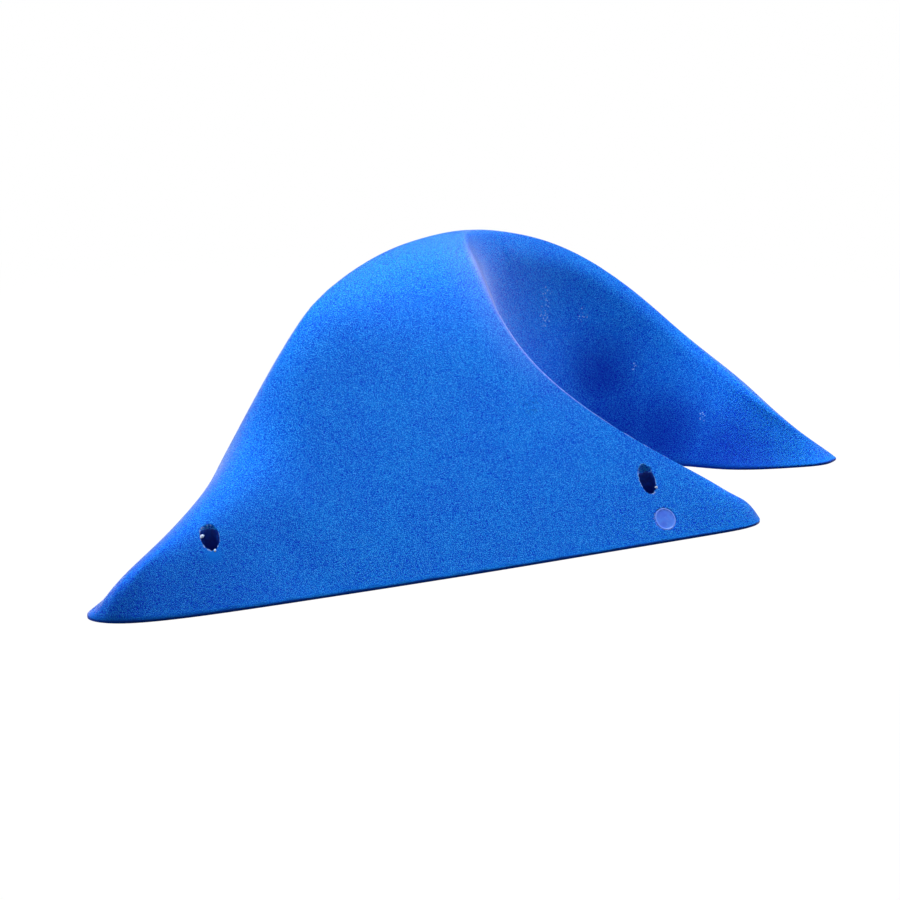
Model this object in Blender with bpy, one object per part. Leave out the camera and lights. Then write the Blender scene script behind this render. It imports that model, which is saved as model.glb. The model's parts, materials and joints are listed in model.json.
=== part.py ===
# Large sculpted climbing hold: one hollow-backed casting with three tips, four screw seats and a badge disc.
# The plan is drawn in millimetres from the tail tip, x along the near edge and y away from it.
# The finished part stands on its wall face with its origin under the middle of its box.
import math

import bmesh
import bpy
import numpy as np
from mathutils import Vector
from mathutils.bvhtree import BVHTree

mm = 0.001
gap = 0.3

# Wall outline, from the near horn along the near edge to the tail, then round the back to the far horn.
NEAR_EDGE = [(369, 17), (365, 8), (355, 2.5), (335, 0.5), (270, -0.5), (190, -1.5), (110, -0.5), (60, 1),
             (28, 4), (8, 10), (-1, 19)]
BACK_EDGE = [(0, 28), (13, 40), (45, 68), (88, 110), (130, 152), (185, 193), (250, 220), (320, 230),
             (390, 215), (438, 184), (461, 148), (471, 115), (473, 99), (471, 91)]
# Wall outline of the hand bay, from the near horn to the far horn.
BAY_EDGE = [(369, 17), (368, 26), (360, 36), (342, 48), (318, 64), (302, 84), (300, 106), (313, 126),
            (340, 136), (368, 133), (390, 120), (402, 106), (417, 96), (440, 88.5), (460, 85.5), (471, 91)]
# Crest of the near horn, rising to the dome (x, y, height).
NEAR_CREST = [(369, 17, 1.2), (362, 16, 7), (352, 15.5, 15), (336, 18.5, 26), (312, 26.5, 41), (279, 42, 65),
              (256, 59, 90), (247, 77, 113), (247, 97, 130.5), (252, 117, 138.8), (266, 137, 140.3)]
# Main ridge from the tail over the dome to the far horn (x, y, height).
TAIL_RIDGE = [(-1, 19, 3), (5, 17, 11.5), (18, 17, 20.8), (43, 26, 32), (63, 34.5, 42), (82, 44, 52.8),
              (101, 56, 67.7), (120.5, 69, 95), (144, 85, 120.5), (176, 103, 132), (210, 118, 139),
              (240, 129, 141.5)]
DOME_RIDGE = [(270, 142, 140)]
FAR_RIDGE = [(308, 159, 131), (344, 168, 117.5), (380, 166, 94), (410, 152, 64.5), (422, 136, 49.8),
             (431, 117, 37), (451, 99, 17.3), (467, 94.5, 5), (471, 91, 1.2)]
# The near flank climbs towards this continuation of the tail ridge, past where the bay cuts it off.
CUT_RIDGE = [(300, 152, 144), (420, 190, 144)]

NEAR_SLOPE = 57
BACK_SLOPE = 64
RIM = 1.2
# How soon a flank rounds over to its ridge: late on a narrow flank (1 would be a straight run to a hard
# ridge), sooner on a wide one, and the widths between which that changes.
LATE_ROUNDING = 1.3
SOON_ROUNDING = 2.0
NARROW_FLANK = 45
WIDE_FLANK = 75
# Width over which the two flanks meet at the main ridge, and the length along the crest where it turns
# from the near horn's edge into the main ridge.
RIDGE_BLEND = 40
CREST_TURN = 215

# Cross sections run from the wall outline over the crest to the bay edge. Each row pairs a length along
# the outline with a length along the crest and one along the bay edge.
SECTIONS = [(0, 0, 0), (42, 44, 40), (107, 98, 68), (187, 153, 90), (267, 181, 101), (317, 191, 106),
            (349, 198, 110), (383, 210, 117), (411, 221, 124), (460, 233, 131), (535, 246, 138),
            (617, 264, 145), (702, 300, 160), (782, 348, 182), (855, 406, 214), (910, 458, 254),
            (953, 503, 290), (986, 538, 312), (1009, 558, 326)]
# Bay wall profile: share of the crest's height at a quarter, half and three quarters of the way down,
# against the length along the crest.
BAY_PROFILE = [(0, 0.62, 0.33, 0.12), (110, 0.62, 0.33, 0.12), (181, 0.68, 0.35, 0.12),
               (210, 0.78, 0.40, 0.13), (260, 0.78, 0.44, 0.17), (348, 0.76, 0.46, 0.20),
               (458, 0.75, 0.48, 0.22), (558, 0.75, 0.48, 0.22)]
# Crispness of the crest against the length along it: 1 is a hard edge, 0 a rounded one.
CRISPNESS = [(0, 1), (153, 1), (181, 0.9), (198, 0.5), (210, 0.15), (221, 0), (558, 0)]
BAY_STATIONS = (0.25, 0.5, 0.75)

LINE_SAMPLES = 300
FLANK_STEPS = 26
BAY_STEPS = 8
FLANK_GUIDES = 39
# The last stretch of a flank bends to the crest's own height by this power of the share of the way.
CREST_PULL = 4
SPACING_POWER = 0.8
TIP_STEP = 3
LONG_STEP = 15
STEP_GROWTH = 0.22

# Hollow back: square cores between ribs, kept clear of the skin and of the screw bosses.
WALL = 9
CORE_SIZE = 41
RIB = 9
CORE_START = (79, 13)
CORE_COLUMNS = 8
CORE_ROWS = 4
CORE_LOWEST_ROOF = 7
CORE_LEAST_SPAN = 18
CORE_CORNER = 7
CORE_MESH = 5
CORE_STEEPEST = 1.8
HALVINGS = 12
CUTTER_DROP = 2
BOSS_RADIUS = 13

# Screw recesses, square to the wall: (x, y) of each axis.
SCREWS = {"washer_tail": (60.6, 21), "washer_near_horn": (302.2, 17.6), "washer_far_horn": (427, 170),
          "washer_back": (166, 158)}
HORN_BOSS = SCREWS["washer_near_horn"]
HORN_BOSS_RADIUS = 24
RECESS_RADIUS = 5.1
SCREW_HOLE_RADIUS = 2.75
SEAT_HEIGHT = 10
WASHER_THICKNESS = 1.5
WASHER_BEVEL = 0.25

# Badge disc let into the near flank.
BADGE_PLACE = (306, 6.5)
BADGE_RADIUS = 5.85
BADGE_THICKNESS = 1.2
BADGE_RIM = 0.7
BADGE_DISH = 0.15
BADGE_SOFT_EDGE = 0.2
POCKET_REACH = 3

ROUND_STEPS = 28
PART_HEIGHT_LIMIT = 200
MERGE = 0.02
SOFT_EDGE = 35
SOFT_TURNED_EDGE = 30


def natural_spline(knots, values, where):
    """Cubic through the values with no bend at its ends."""
    knots = np.asarray(knots, float)
    values = np.asarray(values, float)
    count = len(knots)
    step = np.diff(knots)
    matrix = np.eye(count)
    right = np.zeros_like(values)
    for i in range(1, count - 1):
        matrix[i, i - 1:i + 2] = step[i - 1], 2 * (step[i - 1] + step[i]), step[i]
        right[i] = 6 * ((values[i + 1] - values[i]) / step[i] - (values[i] - values[i - 1]) / step[i - 1])
    bend = np.linalg.solve(matrix, right)
    k = np.clip(np.searchsorted(knots, where, side="right") - 1, 0, count - 2)
    t = (np.asarray(where) - knots[k])[:, None]
    h = step[k][:, None]
    cubic = (bend[k + 1] - bend[k]) / (6 * h)
    linear = (values[k + 1] - values[k]) / h - (2 * bend[k] + bend[k + 1]) * h / 6
    return cubic * t ** 3 + bend[k] / 2 * t ** 2 + linear * t + values[k]


def chord_knots(points, power):
    steps = np.linalg.norm(np.diff(np.asarray(points, float), axis=0), axis=1) ** power
    return np.concatenate([[0], np.cumsum(steps)])


class GuideCurve:
    """Smooth curve through a few points, read by its length."""

    def __init__(self, points, samples=4000):
        knots = chord_knots(points, 0.5)
        dense = np.linspace(0, knots[-1], samples)
        self.points = natural_spline(knots, points, dense)
        self.lengths = chord_knots(self.points, 1)
        self.total = self.lengths[-1]
        self.corners = np.interp(knots, dense, self.lengths)

    def at(self, length):
        columns = [np.interp(length, self.lengths, column) for column in self.points.T]
        return np.column_stack(columns)


def steady(x, y, where):
    """Curve through a table that rises wherever the table rises."""
    x = np.asarray(x, float)
    y = np.asarray(y, float)
    h = np.diff(x)
    slope = np.diff(y) / h
    tangent = np.zeros(len(x))
    tangent[0] = slope[0]
    tangent[-1] = slope[-1]
    for i in range(1, len(x) - 1):
        if slope[i - 1] * slope[i] > 0:
            a = 2 * h[i] + h[i - 1]
            b = h[i] + 2 * h[i - 1]
            tangent[i] = (a + b) / (a / slope[i - 1] + b / slope[i])
    k = np.clip(np.searchsorted(x, where, side="right") - 1, 0, len(x) - 2)
    t = (where - x[k]) / h[k]
    rise = t * t * (3 - 2 * t)
    start = t * (1 - t) ** 2
    end = t * t * (t - 1)
    return (1 - rise) * y[k] + rise * y[k + 1] + h[k] * (start * tangent[k] + end * tangent[k + 1])


def nearest(places, line):
    """Plan distance to a line, the line's height there, and the side the place is on."""
    start = line[:-1, :2]
    run = line[1:, :2] - start
    offset = places[:, None, :2] - start[None]
    t = np.clip((offset * run).sum(2) / (run ** 2).sum(1), 0, 1)
    distance = np.linalg.norm(offset - t[..., None] * run, axis=2)
    k = distance.argmin(1)
    row = np.arange(len(places))
    height = line[k, 2] + t[row, k] * (line[k + 1, 2] - line[k, 2]) if line.shape[1] > 2 else None
    side = run[k, 0] * offset[row, k, 1] - run[k, 1] * offset[row, k, 0]
    return distance[row, k], height, side


def eased(t):
    t = np.clip(t, 0, 1)
    return t * t * (3 - 2 * t)


def arch(x, m):
    """Share of the height at share x of the way from edge to ridge: slope m at first, level at the ridge."""
    m = np.maximum(m, 1.0001)
    straight = np.clip(2 / m - 1, 0, 1)
    over = np.maximum(x - straight, 0)
    low = m * x - m * over ** 2 / (2 * (1 - straight) + 1e-9)
    return np.where(m <= 2, low, 1 - (1 - x) ** m)


def flank(places, edge, ridge, slope):
    """Height of a flank that leaves the edge at the slope and rounds over to the ridge."""
    to_edge, _, _ = nearest(places, edge)
    to_ridge, height, _ = nearest(places, ridge)
    rise = np.maximum(height - RIM, 0.5)
    width = to_edge + to_ridge
    widening = eased((width - NARROW_FLANK) / (WIDE_FLANK - NARROW_FLANK))
    fullest = LATE_ROUNDING + (SOON_ROUNDING - LATE_ROUNDING) * widening
    steepness = np.minimum(math.tan(math.radians(slope)) * width / rise, fullest)
    return RIM + (height - RIM) * arch(to_edge / (width + 1e-9), steepness)


def section_stations(total, tips):
    """Lengths along the outline, close together at the tips."""
    stations = [0.0]
    while stations[-1] < total:
        here = stations[-1]
        ahead = min([tip for tip in tips if tip > here + 1e-6])
        nearby = min(abs(tip - here) for tip in tips)
        step = min(max(STEP_GROWTH * nearby, TIP_STEP), LONG_STEP)
        left = ahead - here
        closing = max(STEP_GROWTH * (left - step), TIP_STEP)
        step = left if left < 1.5 * TIP_STEP else min(step, max(closing, TIP_STEP))
        stations.append(here + min(step, left))
    return np.array(stations)


class Skin:
    """The cast surface as rows of points, one row for each cross section."""

    def __init__(self):
        self.outline = GuideCurve(NEAR_EDGE + BACK_EDGE)
        self.crest = GuideCurve(NEAR_CREST + FAR_RIDGE)
        self.bay = GuideCurve(BAY_EDGE)
        ridge = GuideCurve(TAIL_RIDGE + DOME_RIDGE + FAR_RIDGE)
        cut = GuideCurve(TAIL_RIDGE + CUT_RIDGE)
        self.tail = self.outline.corners[len(NEAR_EDGE) - 1]
        self.join = self.crest.corners[len(NEAR_CREST) - 1]
        self.near_line = self.outline.at(np.linspace(0, self.tail, LINE_SAMPLES))
        self.back_line = self.outline.at(np.linspace(self.tail, self.outline.total, LINE_SAMPLES))
        self.ridge_line = ridge.at(np.linspace(0, ridge.total, LINE_SAMPLES))
        self.cut_line = cut.at(np.linspace(0, cut.total, LINE_SAMPLES))
        self.rows = self.sections()

    def height(self, places, back_share):
        """Height over the plan: near flank on one side of the ridge, back flank on the other."""
        near = flank(places, self.near_line, self.cut_line, NEAR_SLOPE)
        back = flank(places, self.back_line, self.ridge_line, BACK_SLOPE)
        distance, _, side = nearest(places, self.ridge_line)
        across = eased(0.5 + np.sign(side) * distance / RIDGE_BLEND)
        share = back_share if back_share in (0, 1) else np.maximum(across, back_share)
        return near + (back - near) * share

    def sections(self):
        table = np.array(SECTIONS, float)
        stations = section_stations(self.outline.total, (0, self.tail, self.outline.total))
        along = table[:, 0] * self.outline.total / table[-1, 0]
        on_crest = steady(along, table[:, 1] * self.crest.total / table[-1, 1], stations)
        on_bay = steady(along, table[:, 2] * self.bay.total / table[-1, 2], stations)
        starts = self.outline.at(stations)
        crests = self.crest.at(on_crest)
        ends = self.bay.at(on_bay)
        profile = np.array(BAY_PROFILE)
        shares = np.column_stack([steady(profile[:, 0], profile[:, k], on_crest) for k in (1, 2, 3)])
        crisp = np.array(CRISPNESS, float)
        hardness = steady(crisp[:, 0], crisp[:, 1], on_crest)
        passing = np.maximum(eased((on_crest - CREST_TURN) / (self.join - CREST_TURN)), 1e-6)
        rows = []
        for i, station in enumerate(stations):
            share = 0 if station < self.tail - 1e-6 else passing[i]
            rows.append(self.section(starts[i], crests[i], ends[i], shares[i], hardness[i], share))
        return np.array(rows)

    def section(self, start, crest, end, shares, hardness, back_share):
        top = np.array([crest[0], crest[1], max(crest[2], RIM)])
        first = np.array([*start, RIM])
        last = np.array([*end, RIM])
        if np.linalg.norm(top[:2] - first[:2]) < 0.5:
            tip = [first] * (FLANK_STEPS + 1) + [last] * BAY_STEPS
            return np.vstack([[*start, 0], tip, [*end, 0]])
        f = np.linspace(0, 1, FLANK_GUIDES + 2)[1:-1]
        plan = first[:2] + f[:, None] * (top[:2] - first[:2])
        heights = self.height(np.vstack([plan, top[:2]]), back_share)
        lift = f ** CREST_PULL * (top[2] - heights[-1])
        outer = np.vstack([first, np.column_stack([plan, np.maximum(heights[:-1] + lift, RIM)]), top])
        inner = [[*(top[:2] + g * (last[:2] - top[:2])), RIM + share * (top[2] - RIM)]
                 for g, share in zip(BAY_STATIONS, shares)]
        inner = np.vstack([inner, last])
        guide = np.vstack([outer, inner])
        knots = chord_knots(guide, SPACING_POWER)
        m = len(outer) - 1
        over = np.linspace(0, knots[m], FLANK_STEPS + 1)
        down = np.linspace(knots[m], knots[-1], BAY_STEPS + 1)[1:]
        rounded = natural_spline(knots, guide, np.concatenate([over, down]))
        edged = np.vstack([natural_spline(knots[:m + 1], guide[:m + 1], over),
                           natural_spline(knots[m:], guide[m:], down)])
        return np.vstack([[*start, 0], hardness * edged + (1 - hardness) * rounded, [*end, 0]])


def place(point, middle):
    """Plan millimetres to part metres."""
    return Vector(((point[0] - middle[0]) * mm, (point[1] - middle[1]) * mm, point[2] * mm))


def material(name, colour, roughness, metallic=0.0):
    made = bpy.data.materials.new(name)
    made.use_nodes = True
    made.diffuse_color = (*colour, 1)
    shader = made.node_tree.nodes["Principled BSDF"]
    shader.inputs["Base Color"].default_value = (*colour, 1)
    shader.inputs["Roughness"].default_value = roughness
    shader.inputs["Metallic"].default_value = metallic
    return made


def new_object(name, bm, look=None):
    mesh = bpy.data.meshes.new(name)
    bm.to_mesh(mesh)
    bm.free()
    piece = bpy.data.objects.new(name, mesh)
    bpy.context.scene.collection.objects.link(piece)
    if look:
        mesh.materials.append(look)
    return piece


def as_cutter(piece):
    piece.hide_render = True
    piece.display_type = "WIRE"
    return piece


def cut(piece, cutter):
    boolean = piece.modifiers.new(cutter.name, "BOOLEAN")
    boolean.operation = "DIFFERENCE"
    boolean.object = as_cutter(cutter)


def casting(skin, middle, look):
    """The skin, its rim down to the wall and the wall face, as one closed solid."""
    bm = bmesh.new()
    grid = [[bm.verts.new(place(point, middle)) for point in row] for row in skin.rows]
    for row, following in zip(grid, grid[1:]):
        for a, b, c, d in zip(row, row[1:], following[1:], following):
            bm.faces.new((a, c, d))
            bm.faces.new((a, b, c))
    bm.faces.new([row[0] for row in grid] + [row[-1] for row in reversed(grid)])
    bmesh.ops.remove_doubles(bm, verts=bm.verts, dist=MERGE * mm)
    bmesh.ops.dissolve_degenerate(bm, edges=bm.edges, dist=MERGE / 2 * mm)
    bmesh.ops.triangulate(bm, faces=bm.faces)
    bmesh.ops.recalc_face_normals(bm, faces=bm.faces)
    return new_object("hold_body", bm, look)


def skin_tree(skin, middle):
    """Search tree of the outer surface without the wall face."""
    count = skin.rows.shape[1]
    points = [place(point, middle) for row in skin.rows for point in row]
    faces = []
    for i in range(len(skin.rows) - 1):
        for j in range(count - 1):
            a = i * count + j
            faces += [(a, a + count + 1, a + count), (a, a + 1, a + count + 1)]
    return BVHTree.FromPolygons(points, faces)


def longest_run(flags):
    """First and last index of the longest run of true flags."""
    best = (0, 0)
    start = None
    for k, flag in enumerate(flags + [False]):
        if flag and start is None:
            start = k
        if not flag and start is not None:
            if k - 1 - start > best[1] - best[0]:
                best = (start, k - 1)
            start = None
    return best


class Cores:
    """Cells of the hollow back, each with a roof that follows the skin."""

    def __init__(self, tree, middle):
        self.tree = tree
        self.middle = middle

    def clear(self, x, y, z):
        point = place((x, y, z), self.middle)
        return self.tree.find_nearest(point)[3] >= WALL * mm

    def allowed(self, x, y):
        if math.hypot(x - HORN_BOSS[0], y - HORN_BOSS[1]) < HORN_BOSS_RADIUS:
            return False
        if any(math.hypot(x - a, y - b) < BOSS_RADIUS for a, b in SCREWS.values()):
            return False
        if self.tree.ray_cast(place((x, y, 0), self.middle), Vector((0, 0, 1)))[0] is None:
            return False
        return self.clear(x, y, CORE_LOWEST_ROOF)

    def roof(self, x, y):
        """Height at which the skin, straight above or to a side, comes within a wall's thickness."""
        height = CORE_LOWEST_ROOF
        while self.clear(x, y, height + 1):
            height += 1
        low, high = height, height + 1
        for _ in range(HALVINGS):
            half = (low + high) / 2
            if self.clear(x, y, half):
                low = half
            else:
                high = half
        return low

    def border(self, x, inside, outside):
        """Plan y where the allowed ground ends, between a place in it and one out of it."""
        for _ in range(HALVINGS):
            half = (inside + outside) / 2
            if self.allowed(x, half):
                inside = half
            else:
                outside = half
        return inside

    def span(self, x, low, high):
        """Longest allowed stretch of one column of a cell."""
        rows = np.arange(low, high + 0.5, 1.0)
        first, last = longest_run([self.allowed(x, y) for y in rows])
        if last <= first:
            return None
        start = rows[first] if first == 0 else self.border(x, rows[first], rows[first - 1])
        end = rows[last] if last == len(rows) - 1 else self.border(x, rows[last], rows[last + 1])
        return (start, end) if end - start >= CORE_LEAST_SPAN else None

    def cell(self, bm, x_low, x_high, y_low, y_high):
        columns = np.arange(x_low, x_high + 0.25, 0.5)
        first, last = longest_run([self.span(x, y_low, y_high) is not None for x in columns])
        left, right = columns[first], columns[last]
        if right - left < CORE_LEAST_SPAN:
            return
        spread = [0, 0.3 * CORE_CORNER, CORE_CORNER]
        between = list(np.linspace(left + CORE_CORNER, right - CORE_CORNER, CORE_MESH - 2))[1:-1]
        xs = [left + s for s in spread] + between + [right - s for s in reversed(spread)]
        grid = []
        for x in xs:
            low, high = self.span(x, y_low, y_high)
            inset = CORE_CORNER - min(x - left, right - x, CORE_CORNER)
            shrink = CORE_CORNER - math.sqrt(CORE_CORNER ** 2 - inset ** 2)
            low += shrink
            high -= shrink
            grid.append([(x, low + (high - low) * t) for t in np.linspace(0, 1, CORE_MESH)])
        roofs = self.gentle([[self.roof(x, y) for x, y in line] for line in grid], grid)
        tops = [[bm.verts.new(place((*spot, height), self.middle)) for spot, height in zip(line, heights)]
                for line, heights in zip(grid, roofs)]
        feet = [[bm.verts.new(place((x, y, -CUTTER_DROP), self.middle)) for x, y in line] for line in grid]
        made = []
        for upper, lower in zip(zip(tops, tops[1:]), zip(feet, feet[1:])):
            for j in range(CORE_MESH - 1):
                made.append(bm.faces.new((upper[0][j], upper[1][j], upper[1][j + 1], upper[0][j + 1])))
                made.append(bm.faces.new((lower[0][j], lower[0][j + 1], lower[1][j + 1], lower[1][j])))
        top_ring = self.ring(tops)
        foot_ring = self.ring(feet)
        for k in range(len(top_ring)):
            after = (k + 1) % len(top_ring)
            made.append(bm.faces.new((top_ring[k], foot_ring[k], foot_ring[after], top_ring[after])))
        bmesh.ops.triangulate(bm, faces=made)

    @staticmethod
    def gentle(heights, grid):
        """Roof heights lowered until none climbs from its neighbours by more than the steepest slope."""
        heights = np.array(heights)
        spots = np.array(grid)
        for _ in range(heights.size):
            for axis in (0, 1):
                for way in (1, -1):
                    low = np.roll(heights, way, axis)
                    apart = np.linalg.norm(np.roll(spots, way, axis) - spots, axis=2)
                    edge = [slice(None), slice(None)]
                    edge[axis] = 0 if way == 1 else -1
                    low[tuple(edge)] = np.inf
                    heights = np.minimum(heights, low + CORE_STEEPEST * apart)
        return heights

    @staticmethod
    def ring(grid):
        return (grid[0] + [line[-1] for line in grid[1:-1]] + grid[-1][::-1]
                + [line[0] for line in grid[-2:0:-1]])


def cores(tree, middle):
    bm = bmesh.new()
    maker = Cores(tree, middle)
    pitch = CORE_SIZE + RIB
    for i in range(CORE_COLUMNS):
        for j in range(CORE_ROWS):
            x = CORE_START[0] + i * pitch
            y = CORE_START[1] + j * pitch
            maker.cell(bm, x, x + CORE_SIZE, y, y + CORE_SIZE)
    bmesh.ops.recalc_face_normals(bm, faces=bm.faces)
    return new_object("core_cutter", bm)


def turned(bm, profile, steps=ROUND_STEPS):
    """Spin a closed or axis-to-axis profile of (radius, height) in metres about Z."""
    verts = [bm.verts.new((radius, 0, height)) for radius, height in profile]
    edges = [bm.edges.new(pair) for pair in zip(verts, verts[1:])]
    if profile[0][0] > 0:
        edges.append(bm.edges.new((verts[-1], verts[0])))
    bmesh.ops.spin(bm, geom=verts + edges, cent=(0, 0, 0), axis=(0, 0, 1), angle=math.tau, steps=steps,
                   use_merge=False, use_duplicate=False)
    bmesh.ops.remove_doubles(bm, verts=bm.verts, dist=MERGE / 2 * mm)
    bmesh.ops.recalc_face_normals(bm, faces=bm.faces)


def recess_cutter(name, axis, middle):
    """Screw hole with a wide recess above the seat."""
    bm = bmesh.new()
    foot = -CUTTER_DROP * mm
    turned(bm, [(0, foot), (SCREW_HOLE_RADIUS * mm, foot), (SCREW_HOLE_RADIUS * mm, SEAT_HEIGHT * mm),
                (RECESS_RADIUS * mm, SEAT_HEIGHT * mm), (RECESS_RADIUS * mm, PART_HEIGHT_LIMIT * mm),
                (0, PART_HEIGHT_LIMIT * mm)])
    cutter = new_object(name, bm)
    cutter.location = place((*axis, 0), middle)
    return cutter


def washer(name, axis, middle, look):
    """Flat steel seat washer in the bottom of a recess."""
    bm = bmesh.new()
    outer = (RECESS_RADIUS - gap) * mm
    inner = SCREW_HOLE_RADIUS * mm
    top = WASHER_THICKNESS * mm
    bevel = WASHER_BEVEL * mm
    turned(bm, [(inner, 0), (outer, 0), (outer, top - bevel), (outer - bevel, top), (inner, top)])
    piece = new_object(name, bm, look)
    piece.location = place((*axis, SEAT_HEIGHT + gap), middle)
    return piece


def badge_frame(tree, middle):
    """Where the badge lies on the near flank, and its turn from level."""
    above = place((*BADGE_PLACE, PART_HEIGHT_LIMIT), middle)
    hit, normal, _, _ = tree.ray_cast(above, Vector((0, 0, -1)))
    if normal.z < 0:
        normal = -normal
    return hit, normal.to_track_quat("Z", "Y")


def badge_pocket(centre, turn):
    bm = bmesh.new()
    radius = (BADGE_RADIUS + gap) * mm
    floor = -(BADGE_THICKNESS + gap) * mm
    turned(bm, [(0, floor), (radius, floor), (radius, POCKET_REACH * mm), (0, POCKET_REACH * mm)])
    cutter = new_object("badge_pocket_cutter", bm)
    cutter.rotation_mode = "QUATERNION"
    cutter.rotation_quaternion = turn
    cutter.location = centre
    return cutter


def badge(centre, turn, look):
    """Round inlay with a narrow raised rim."""
    bm = bmesh.new()
    radius = BADGE_RADIUS * mm
    floor = -BADGE_THICKNESS * mm
    dish = -BADGE_DISH * mm
    rim = BADGE_RIM * mm
    soft = BADGE_SOFT_EDGE * mm
    turned(bm, [(0, floor), (radius, floor), (radius, -soft), (radius - soft, 0), (radius - rim, 0),
                (radius - rim - soft, dish), (0, dish)])
    piece = new_object("badge_disc", bm, look)
    piece.rotation_mode = "QUATERNION"
    piece.rotation_quaternion = turn
    piece.location = centre
    return piece


def smooth(piece, angle):
    piece.data.shade_smooth()
    piece.data.set_sharp_from_angle(angle=math.radians(angle))


def build():
    for old in list(bpy.data.objects):
        bpy.data.objects.remove(old, do_unlink=True)
    skin = Skin()
    lowest = skin.rows.reshape(-1, 3).min(0)
    highest = skin.rows.reshape(-1, 3).max(0)
    middle = (lowest + highest) / 2
    plastic = material("blue_cast_polyurethane", (0.008, 0.13, 0.62), 0.72)
    inlay = material("blue_badge_plastic", (0.05, 0.2, 0.7), 0.4)
    steel = material("zinc_plated_steel", (0.62, 0.62, 0.6), 0.35, 1.0)
    tree = skin_tree(skin, middle)
    body = casting(skin, middle, plastic)
    cut(body, cores(tree, middle))
    for name, axis in SCREWS.items():
        cut(body, recess_cutter(name + "_recess_cutter", axis, middle))
        smooth(washer(name, axis, middle, steel), SOFT_TURNED_EDGE)
    centre, turn = badge_frame(tree, middle)
    cut(body, badge_pocket(centre, turn))
    smooth(badge(centre, turn, inlay), SOFT_TURNED_EDGE)
    smooth(body, SOFT_EDGE)


build()
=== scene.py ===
import json
import math

import bmesh
import bpy
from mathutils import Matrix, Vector
from mathutils.kdtree import KDTree

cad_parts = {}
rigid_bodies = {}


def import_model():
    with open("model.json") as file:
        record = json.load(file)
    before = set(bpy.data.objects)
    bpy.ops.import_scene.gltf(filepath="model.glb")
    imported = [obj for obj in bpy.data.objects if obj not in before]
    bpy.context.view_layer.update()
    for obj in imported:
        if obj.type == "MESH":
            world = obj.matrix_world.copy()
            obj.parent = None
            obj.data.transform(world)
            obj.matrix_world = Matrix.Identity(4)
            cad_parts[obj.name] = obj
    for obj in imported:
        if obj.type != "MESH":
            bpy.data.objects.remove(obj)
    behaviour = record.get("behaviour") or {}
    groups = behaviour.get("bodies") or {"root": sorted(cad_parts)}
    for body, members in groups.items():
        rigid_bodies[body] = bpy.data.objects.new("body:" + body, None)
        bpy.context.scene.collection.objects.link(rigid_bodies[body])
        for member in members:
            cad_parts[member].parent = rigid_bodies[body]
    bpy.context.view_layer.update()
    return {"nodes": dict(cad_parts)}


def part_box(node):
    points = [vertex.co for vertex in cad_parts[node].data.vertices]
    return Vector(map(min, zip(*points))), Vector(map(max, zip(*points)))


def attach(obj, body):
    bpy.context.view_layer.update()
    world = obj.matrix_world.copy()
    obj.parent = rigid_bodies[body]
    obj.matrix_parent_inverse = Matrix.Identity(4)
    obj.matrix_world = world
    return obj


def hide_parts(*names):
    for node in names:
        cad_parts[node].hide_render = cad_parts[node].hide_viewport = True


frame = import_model()
mm = 0.001
body = "root"


# Small helpers

def linearColour(hexColour):
    shares = [int(hexColour[i:i + 2], 16) / 255 for i in (1, 3, 5)]
    linear = [s / 12.92 if s <= 0.04045 else ((s + 0.055) / 1.055) ** 2.4 for s in shares]
    return (*linear, 1)


def inMillimetres(*numbers):
    return tuple(number * mm for number in numbers)


def workOn(piece):
    bpy.ops.object.select_all(action="DESELECT")
    piece.select_set(True)
    bpy.context.view_layer.objects.active = piece


def openMesh(piece, mode="VERT"):
    workOn(piece)
    bpy.ops.object.mode_set(mode="EDIT")
    bpy.ops.mesh.select_mode(type=mode)
    bpy.ops.mesh.select_all(action="DESELECT")


def closeMesh():
    bpy.ops.object.mode_set(mode="OBJECT")


def pick(piece, kind, test):        # kind is verts, edges or faces; test says which of them
    bpy.ops.mesh.select_mode(type={"verts": "VERT", "edges": "EDGE", "faces": "FACE"}[kind])
    bpy.ops.mesh.select_all(action="DESELECT")
    bm = bmesh.from_edit_mesh(piece.data)
    for element in getattr(bm, kind):
        if test(element):
            element.select_set(True)
    bmesh.update_edit_mesh(piece.data)


def makeQuads(faceAngle, shapeAngle):
    bpy.ops.mesh.select_all(action="SELECT")
    bpy.ops.mesh.tris_convert_to_quads(face_threshold=math.radians(faceAngle),
                                       shape_threshold=math.radians(shapeAngle))


def turnOutwards():
    bpy.ops.mesh.select_all(action="SELECT")
    bpy.ops.mesh.normals_make_consistent(inside=False)


def pushOut(x, y, z):
    bpy.ops.mesh.extrude_region_move(TRANSFORM_OT_translate={"value": (x, y, z)})


def faceAlong(piece, direction):
    piece.rotation_mode = "QUATERNION"
    piece.rotation_quaternion = direction.to_track_quat("Z", "Y")


def applyModifier(piece, kind, **settings):
    workOn(piece)
    modifier = piece.modifiers.new(kind.title(), kind)
    for name, value in settings.items():
        setattr(modifier, name, value)
    bpy.ops.object.modifier_apply(modifier=modifier.name)


def cutAway(piece, tool):
    applyModifier(piece, "BOOLEAN", operation="DIFFERENCE", object=tool, solver="EXACT")
    bpy.data.objects.remove(tool)


def giveMaterials(piece, *made):
    piece.data.materials.clear()
    for material in made:
        piece.data.materials.append(material)


def finishPiece(piece, slotName, *nodes):
    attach(piece, body)
    if nodes:
        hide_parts(*nodes)


# Shader helpers

easing = {"interpolation_type": "SMOOTHSTEP"}
inColour = {"data_type": "RGBA", "output": 2}       # a Mix node's colour sockets are 6 and 7


def addNode(tree, kind, inputs=(), output=0, **settings):
    node = tree.nodes.new("ShaderNode" + kind)
    for name, value in settings.items():
        setattr(node, name, value)
    for socket, value in dict(inputs).items():
        if isinstance(value, bpy.types.NodeSocket):
            tree.links.new(value, node.inputs[socket])
        elif isinstance(value, str):
            node.inputs[socket].default_value = linearColour(value)
        else:
            node.inputs[socket].default_value = value
    return node.outputs[output] if node.outputs else None


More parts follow.
